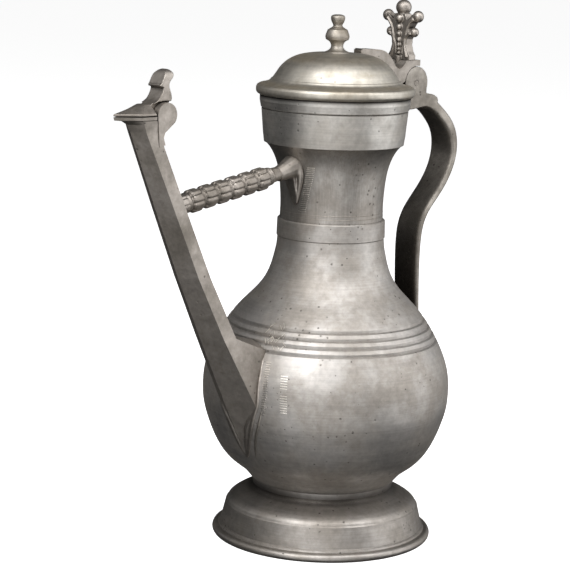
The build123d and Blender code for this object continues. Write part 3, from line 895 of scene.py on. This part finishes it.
    def _crossed_strokes(self, chance: random.Random) -> list[Stroke]:
        """Return the strokes that cross each other on the shoulder above the boot."""
        lowest, spread, start, pitch, slants = 124.5, 14.0, 8.0, 0.6, (48.0, -48.0, 62.0, -62.0)
        return [Stroke(
            azimuth=self.front_azimuth + start + pitch * step,
            height=lowest + chance.uniform(0.0, spread), slant=chance.choice(slants),
            length=chance.uniform(2.4, 4.4), width=0.36) for step in range(22)]

    def _row_by_root(self, chance: random.Random) -> list[Stroke]:
        """Return the row of strokes down the neck beside the bridge's root."""
        highest, pitch, start, drift = 229.0, 1.15, 21.5, 0.5
        return [Stroke(
            azimuth=self.front_azimuth + start - drift * step, height=highest - pitch * step,
            slant=2.0, length=chance.uniform(4.2, 5.6), width=0.5) for step in range(24)]


@dataclass
class Handle:
    """The strap handle and the lid's pin in its head.

    The strap is wider and thinner here than in the CAD, as the photograph shows it.  Each
    station of its course is the X and Z of its outer face, the X and Z of its inner face, and
    half its width, all in millimetres.
    """

    nodes: dict[str, Mesh]
    course: tuple[tuple[float, float, float, float, float], ...] = (
        (81.0, 267.3, 75.6, 258.7, 7.6), (86.8, 262.4, 81.0, 256.9, 7.8),
        (94.8, 256.4, 88.0, 251.0, 8.2), (101.6, 249.2, 93.9, 245.2, 8.7),
        (104.9, 240.0, 97.5, 238.6, 9.4), (104.4, 229.0, 98.4, 230.2, 9.9),
        (100.2, 217.6, 95.4, 220.6, 9.9), (92.2, 206.6, 88.2, 210.6, 9.9),
        (83.2, 198.2, 79.2, 201.8, 9.9), (77.0, 191.4, 72.6, 194.4, 9.9),
        (73.6, 182.4, 68.2, 184.6, 9.9), (72.8, 170.0, 67.4, 170.4, 9.8),
        (73.2, 152.0, 67.8, 151.6, 9.6), (74.6, 132.0, 69.4, 131.2, 9.3),
        (76.0, 114.0, 70.8, 113.0, 9.0), (75.4, 104.0, 70.6, 103.0, 8.6),
        (74.0, 97.0, 70.2, 97.0, 8.0))
    corner: float = 1.6
    head_end: Triple = (82.5, 0.0, 260.5)
    head_slope: Triple = (0.7, 0.0, -0.7)

    def build(self) -> None:
        """Bend the strap, keep the hinge head and dress both with the pin."""
        head = take_copy([self.nodes["handle"]], "hinge_head")
        bpy.ops.object.mode_set(mode="EDIT")
        bpy.ops.mesh.select_all(action="SELECT")
        bpy.ops.mesh.bisect(
            plane_co=MM * Vector(self.head_end), plane_no=self.head_slope, use_fill=True,
            clear_outer=True)
        bpy.ops.object.mode_set(mode="OBJECT")
        piece = join("handle_casting", [head, self._strap()])
        melt_together(piece, skin=0.45, rubs=4)
        settle(piece, "vessel", STRAP, ("handle",))
        dress(self.nodes["lid_pin"], CAST)

    def _strap(self) -> Mesh:
        """Return the strap with its soft edges, from the hinge head down to the belly."""
        loops = []
        for outer_x, outer_z, inner_x, inner_z, half in self.course:
            outer = Vector((outer_x, 0, outer_z))
            inner = Vector((inner_x, 0, inner_z))
            inward = (inner - outer).normalized()
            across = Vector((0, 1, 0))
            near, far = outer + self.corner * inward, inner - self.corner * inward
            loops.append([
                outer + (half - self.corner) * across, near + half * across, far + half * across,
                inner + (half - self.corner) * across, inner - (half - self.corner) * across,
                far - half * across, near - half * across, outer - (half - self.corner) * across])
        strap = skin_over("strap", loops)
        modify(strap, "SUBSURF", levels=3)
        return strap


@dataclass
class Lid:
    """The domed lid with its knob, strap and thumbpiece.

    The stem's beads are heights and radii.  Ribs and balls have a distance from the middle, a
    height and a radius, and the leaf's tip has its distance behind the front face instead.
    """

    nodes: dict[str, Mesh]
    dome: tuple[Stop, ...] = (
        Stop(0.0, 294.7, True), Stop(8.0, 294.7), Stop(18.0, 294.0), Stop(26.2, 291.5),
        Stop(32.6, 286.7), Stop(36.2, 281.6), Stop(37.9, 279.1, True), Stop(38.5, 278.9, True),
        Stop(39.6, 277.6),
        Stop(42.6, 276.3), Stop(45.2, 275.3, True), Stop(45.6, 275.6, True), Stop(46.9, 274.7),
        Stop(47.5, 272.4), Stop(47.0, 270.4), Stop(45.6, 269.4, True), Stop(39.4, 269.4, True),
        Stop(39.4, 266.5, True), Stop(37.4, 266.5, True), Stop(36.6, 276.4, True), Stop(34.4, 280.4),
        Stop(30.6, 285.0), Stop(24.6, 289.2), Stop(17.0, 291.4), Stop(0.0, 292.3, True))
    knob: tuple[Stop, ...] = (
        Stop(0.0, 294.0, True), Stop(7.7, 294.0, True), Stop(7.4, 294.9), Stop(5.0, 296.3),
        Stop(3.7, 298.1), Stop(3.8, 299.7), Stop(4.4, 300.9), Stop(5.1, 301.6, True),
        Stop(6.8, 302.5, True), Stop(7.2, 304.2), Stop(7.0, 305.5, True), Stop(5.9, 308.3, True),
        Stop(4.0, 309.4, True), Stop(2.8, 310.5),
        Stop(2.9, 311.4), Stop(3.6, 312.7), Stop(4.2, 314.6), Stop(4.0, 316.2), Stop(2.8, 317.0),
        Stop(0.0, 317.3, True))
    front: float = 54.6
    middle: float = 57.6
    beads: tuple[tuple[float, float], ...] = (
        (314.4, 2.7), (309.2, 2.2), (304.9, 1.9), (301.3, 1.6), (298.2, 1.4), (295.6, 1.2),
        (293.3, 1.0))
    bead_proud: float = 0.2
    arm_rib: tuple[Triple, ...] = (
        (6.6, 291.0, 1.0), (4.6, 296.0, 0.8), (4.3, 301.0, 0.8), (5.4, 306.0, 0.8),
        (7.0, 311.0, 0.8), (10.6, 314.6, 0.9))
    low_rib: tuple[Triple, ...] = (
        (2.6, 293.0, 0.6), (2.8, 299.0, 0.55), (5.2, 303.6, 0.7), (8.6, 305.8, 1.0))
    leaf_tip: tuple[Triple, ...] = ((0.2, 291.5, 2.6), (-0.4, 288.0, 1.8), (-1.0, 285.2, 0.7))
    high_ball: Triple = (12.2, 315.9, 3.6)
    low_ball: Triple = (9.6, 306.2, 2.9)

    def build(self) -> None:
        """Turn the lid and its knob, and cast the strap with the thumbpiece."""
        settle(turn("lid_dome", self.dome), "lid", TURNED_LID, ("lid",))
        settle(turn("lid_knob", self.knob, 64), "lid", KNOB, ("finial",))
        dress(self.nodes["lid_strap"], CAST)
        self._thumbpiece()

    def _thumbpiece(self) -> None:
        """Cast the thumbpiece: ribs, beads and balls that run into each other."""
        forms = [take_copy([self.nodes["thumbpiece"]], "stem")]
        for height, radius in self.beads:
            forms.append(globe("stem_bead", self.front - self.bead_proud, 0.0, height, radius))
        for side in (-1, 1):
            for face in (self.front, 2 * self.middle - self.front):
                for name, rib in (("arm_rib", self.arm_rib), ("low_rib", self.low_rib)):
                    forms.append(bead(name, [(face, side * y, z, radius) for y, z, radius in rib]))
            for name, (y, z, radius) in (("high_ball", self.high_ball), ("low_ball", self.low_ball)):
                forms.append(globe(name, self.middle, side * y, z, radius))
        forms.append(bead("leaf_tip", [
            (self.front + behind, 0.0, z, radius) for behind, z, radius in self.leaf_tip]))
        piece = join("thumbpiece_casting", forms)
        melt_together(piece, skin=0.26, rubs=3)
        settle(piece, "lid", CAST_RELIEF, ("thumbpiece",))


@dataclass
class SpoutCover:
    """The leaf-shaped cover of the spout with its thumb tab."""

    nodes: dict[str, Mesh]
    ledge: tuple[Knot, ...] = (
        (-142.6, -5.3, 280.3, 0.8), (-142.6, 0.0, 280.5, 0.8), (-142.6, 5.3, 280.3, 0.8))

    def build(self) -> None:
        """Cast the cover and its tab in one soft form, with the ledge across the tab."""
        form = take_copy([self.nodes["spout_cover"], self.nodes["cover_tab"]], "cover")
        piece = join("cover_casting", [form, bead("tab_ledge", list(self.ledge))])
        melt_together(piece, skin=0.28, rubs=14)
        settle(piece, "spout_cover", CAST_RELIEF, ("spout_cover", "cover_tab"))


@dataclass(frozen=True)
class Softbox:
    """An oblong studio lamp, hung at angles right of and above the camera's bearing.

    The angles are in degrees, and the lamp's width, height and distance in metres.
    """

    name: str
    right: float
    up: float
    width: float
    height: float
    glow: float
    away: float = 1.5

    def watts(self) -> float:
        """Return the power that gives the lamp's face its glow."""
        return self.glow * pi * self.width * self.height


@dataclass
class Studio:
    """A plain pale sweep, soft lamps and the camera."""

    camera_place: Vector = field(default_factory=lambda: Vector((-0.87751, -0.83999, 0.36983)))
    bearing: float = radians(45.0)
    dip: float = radians(10.094)
    roll: float = radians(-1.7728)
    lens: float = 128.56
    sensor: float = 36.0
    aim: Vector = field(default_factory=lambda: Vector((-0.02, 0.0, 0.15)))
    lamps: tuple[Softbox, ...] = (
        Softbox("key_lamp", right=-29.0, up=38.0, width=1.05, height=1.15, glow=3.0),
        Softbox("front_panel", right=-6.0, up=-6.0, width=2.1, height=2.2, glow=1.16),
        Softbox("right_panel", right=82.0, up=14.0, width=1.8, height=2.0, glow=1.6),
        Softbox("back_right_panel", right=128.0, up=10.0, width=1.0, height=1.3, glow=0.4),
        Softbox("top_panel", right=16.0, up=60.0, width=2.5, height=1.15, glow=2.8),
        Softbox("left_panel", right=-92.0, up=36.0, width=0.9, height=1.4, glow=0.5),
        Softbox("left_wash", right=-118.0, up=8.0, width=0.9, height=0.8, glow=0.2),
    )
    ceiling_glow: float = 0.05
    ground_glow: float = 0.36
    floor_size: float = 60.0
    floor_glow: float = 0.95

    def axes(self) -> tuple[Vector, Vector, Vector]:
        """Return the camera's right, up and backward directions."""
        level = Vector((cos(self.bearing), -sin(self.bearing), 0))
        ahead = Vector((
            cos(self.dip) * sin(self.bearing), cos(self.dip) * cos(self.bearing), -sin(self.dip)))
        rising = level.cross(ahead)
        right = cos(self.roll) * level - sin(self.roll) * rising
        up = sin(self.roll) * level + cos(self.roll) * rising
        return right, up, -ahead

    def build(self) -> None:
        """Set up the camera, the sweep and the lamps."""
        self._camera()
        self._sweep()
        for lamp in self.lamps:
            self._lamp(lamp)
        self._surroundings()

    def _camera(self) -> None:
        """Put the camera where the photograph was taken from."""
        data = bpy.data.cameras.new("camera")
        data.lens = self.lens
        data.sensor_width = self.sensor
        data.clip_end = self.floor_size
        camera = bpy.data.objects.new("camera", data)
        right, up, back = self.axes()
        turn = Matrix((right, up, back)).transposed().to_4x4()
        camera.matrix_world = Matrix.Translation(self.camera_place) @ turn
        bpy.context.scene.collection.objects.link(camera)
        bpy.context.scene.camera = camera

    def _sweep(self) -> None:
        """Lay a wide pale floor."""
        bpy.ops.object.select_all(action="DESELECT")
        bpy.ops.mesh.primitive_plane_add(size=self.floor_size, location=(0, 0, 0))
        floor = bpy.context.object
        floor.name = "studio_floor"
        paper = bpy.data.materials.new("white_paper")
        paper.use_nodes = True
        shader = paper.node_tree.nodes["Principled BSDF"]
        shader.inputs["Base Color"].default_value = linear("f4f4f3")
        shader.inputs["Roughness"].default_value = 0.9
        shader.inputs["Emission Color"].default_value = (1, 1, 1, 1)
        shader.inputs["Emission Strength"].default_value = self.floor_glow
        floor.data.materials.append(paper)
        floor.visible_glossy = False
        floor.visible_shadow = False

    def _lamp(self, lamp: Softbox) -> None:
        """Hang one lamp and turn it to the flagon.

        Args:
            lamp: Where the lamp hangs, its size and its power.
        """
        data = bpy.data.lights.new(lamp.name, "AREA")
        data.shape = "RECTANGLE"
        data.size = lamp.width
        data.size_y = lamp.height
        data.energy = lamp.watts()
        piece = bpy.data.objects.new(lamp.name, data)
        piece.visible_camera = False
        level = Vector((cos(self.bearing), -sin(self.bearing), 0))
        nearer = Vector((-sin(self.bearing), -cos(self.bearing), 0))
        side, rise = radians(lamp.right), radians(lamp.up)
        ray = (cos(rise) * (sin(side) * level + cos(side) * nearer) + sin(rise) * Vector((0, 0, 1)))
        spot = self.aim + lamp.away * ray
        facing = ray.to_track_quat("Z", "Y").to_matrix().to_4x4()
        piece.matrix_world = Matrix.Translation(spot) @ facing
        bpy.context.scene.collection.objects.link(piece)

    def _surroundings(self) -> None:
        """Fill the room with a dim light that comes mostly from the ground."""
        world = bpy.data.worlds.new("studio")
        bpy.context.scene.world = world
        world.use_nodes = True
        tree = world.node_tree
        direction = add_node(tree, "TexCoord").outputs["Generated"]
        height = add_node(tree, "SeparateXYZ", {"Vector": direction})
        glow = add_node(tree, "MapRange", {
            "Value": height.outputs["Z"], "From Min": -0.45, "From Max": 0.0,
            "To Min": self.ground_glow, "To Max": self.ceiling_glow}, interpolation_type="SMOOTHSTEP")
        tree.links.new(glow.outputs["Result"], tree.nodes["Background"].inputs["Strength"])
        bpy.context.scene.view_settings.view_transform = "Standard"


def main(frame: dict) -> None:
    """Build the studio and dress every sub-assembly of the flagon.
    """
    nodes = frame["nodes"]
    Studio().build()
    for part in (Body(nodes), Spout(nodes), Handle(nodes), Lid(nodes), SpoutCover(nodes)):
        part.build()
        LOG.info("%s is done", type(part).__name__)


if __name__ == "__main__":
    logging.basicConfig(level=logging.INFO, format="%(message)s")
    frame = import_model()
    main(frame)
